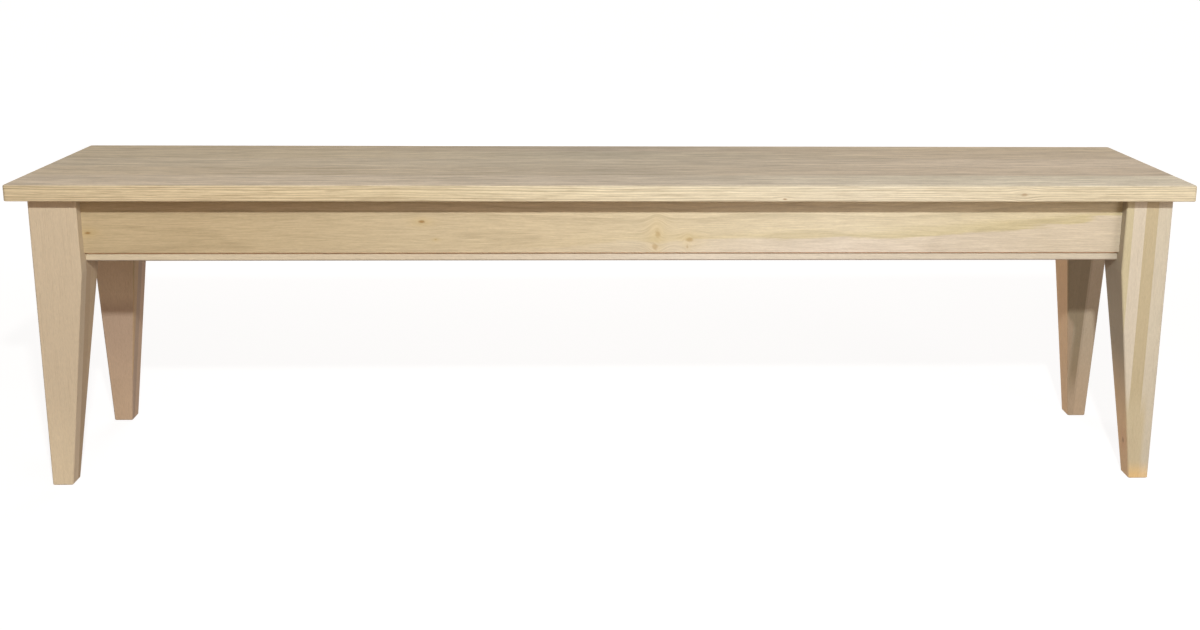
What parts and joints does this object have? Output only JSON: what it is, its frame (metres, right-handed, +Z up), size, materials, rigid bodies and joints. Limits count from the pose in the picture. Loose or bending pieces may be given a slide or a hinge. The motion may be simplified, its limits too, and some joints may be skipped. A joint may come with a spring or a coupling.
{
  "type": "bench",
  "caption": "Long backless wooden bench with a glued-up board seat, beaded aprons and square legs that taper on their inner faces.",
  "frame": {"origin": "on the floor, under the middle of the seat", "axes": "+X along the bench to its right end, +Y to its back, +Z up"},
  "size_m": [1.8288, 0.3682, 0.4953],
  "materials": {
    "seat_wood": "sanded, unfinished",
    "leg_wood": "sanded, unfinished",
    "apron_wood": "sanded, unfinished",
    "bead_wood": "sanded, unfinished",
    "inner_wood": "sawn and planed",
    "screw_steel": "zinc plated"
  },
  "bodies": {
    "root": {"apron_back": "apron_wood", "apron_front": "apron_wood", "apron_left_end": "apron_wood", "apron_right_end": "apron_wood", "bead_back": "bead_wood", "bead_front": "bead_wood", "bead_left_end": "bead_wood", "bead_right_end": "bead_wood", "brace_screws": "screw_steel", "button_screws": "screw_steel", "corner_brace_back_left": "inner_wood", "corner_brace_back_right": "inner_wood", "corner_brace_front_left": "inner_wood", "corner_brace_front_right": "inner_wood", "cross_rail_left": "inner_wood", "cross_rail_right": "inner_wood", "leg_back_left_strip_1": "leg_wood", "leg_back_left_strip_2": "leg_wood", "leg_back_left_strip_3": "leg_wood", "leg_back_left_strip_4": "leg_wood", "leg_back_right_strip_1": "leg_wood", "leg_back_right_strip_2": "leg_wood", "leg_back_right_strip_3": "leg_wood", "leg_back_right_strip_4": "leg_wood", "leg_front_left_strip_1": "leg_wood", "leg_front_left_strip_2": "leg_wood", "leg_front_left_strip_3": "leg_wood", "leg_front_left_strip_4": "leg_wood", "leg_front_right_strip_1": "leg_wood", "leg_front_right_strip_2": "leg_wood", "leg_front_right_strip_3": "leg_wood", "leg_front_right_strip_4": "leg_wood", "rail_screws": "screw_steel", "seat_board_back": "seat_wood", "seat_board_back_middle": "seat_wood", "seat_board_front": "seat_wood", "seat_board_front_middle": "seat_wood", "seat_board_middle": "seat_wood", "seat_button_back_1": "inner_wood", "seat_button_back_2": "inner_wood", "seat_button_back_3": "inner_wood", "seat_button_back_4": "inner_wood", "seat_button_front_1": "inner_wood", "seat_button_front_2": "inner_wood", "seat_button_front_3": "inner_wood", "seat_button_front_4": "inner_wood", "seat_button_left_end": "inner_wood", "seat_button_right_end": "inner_wood"}
  },
  "joints": []
}
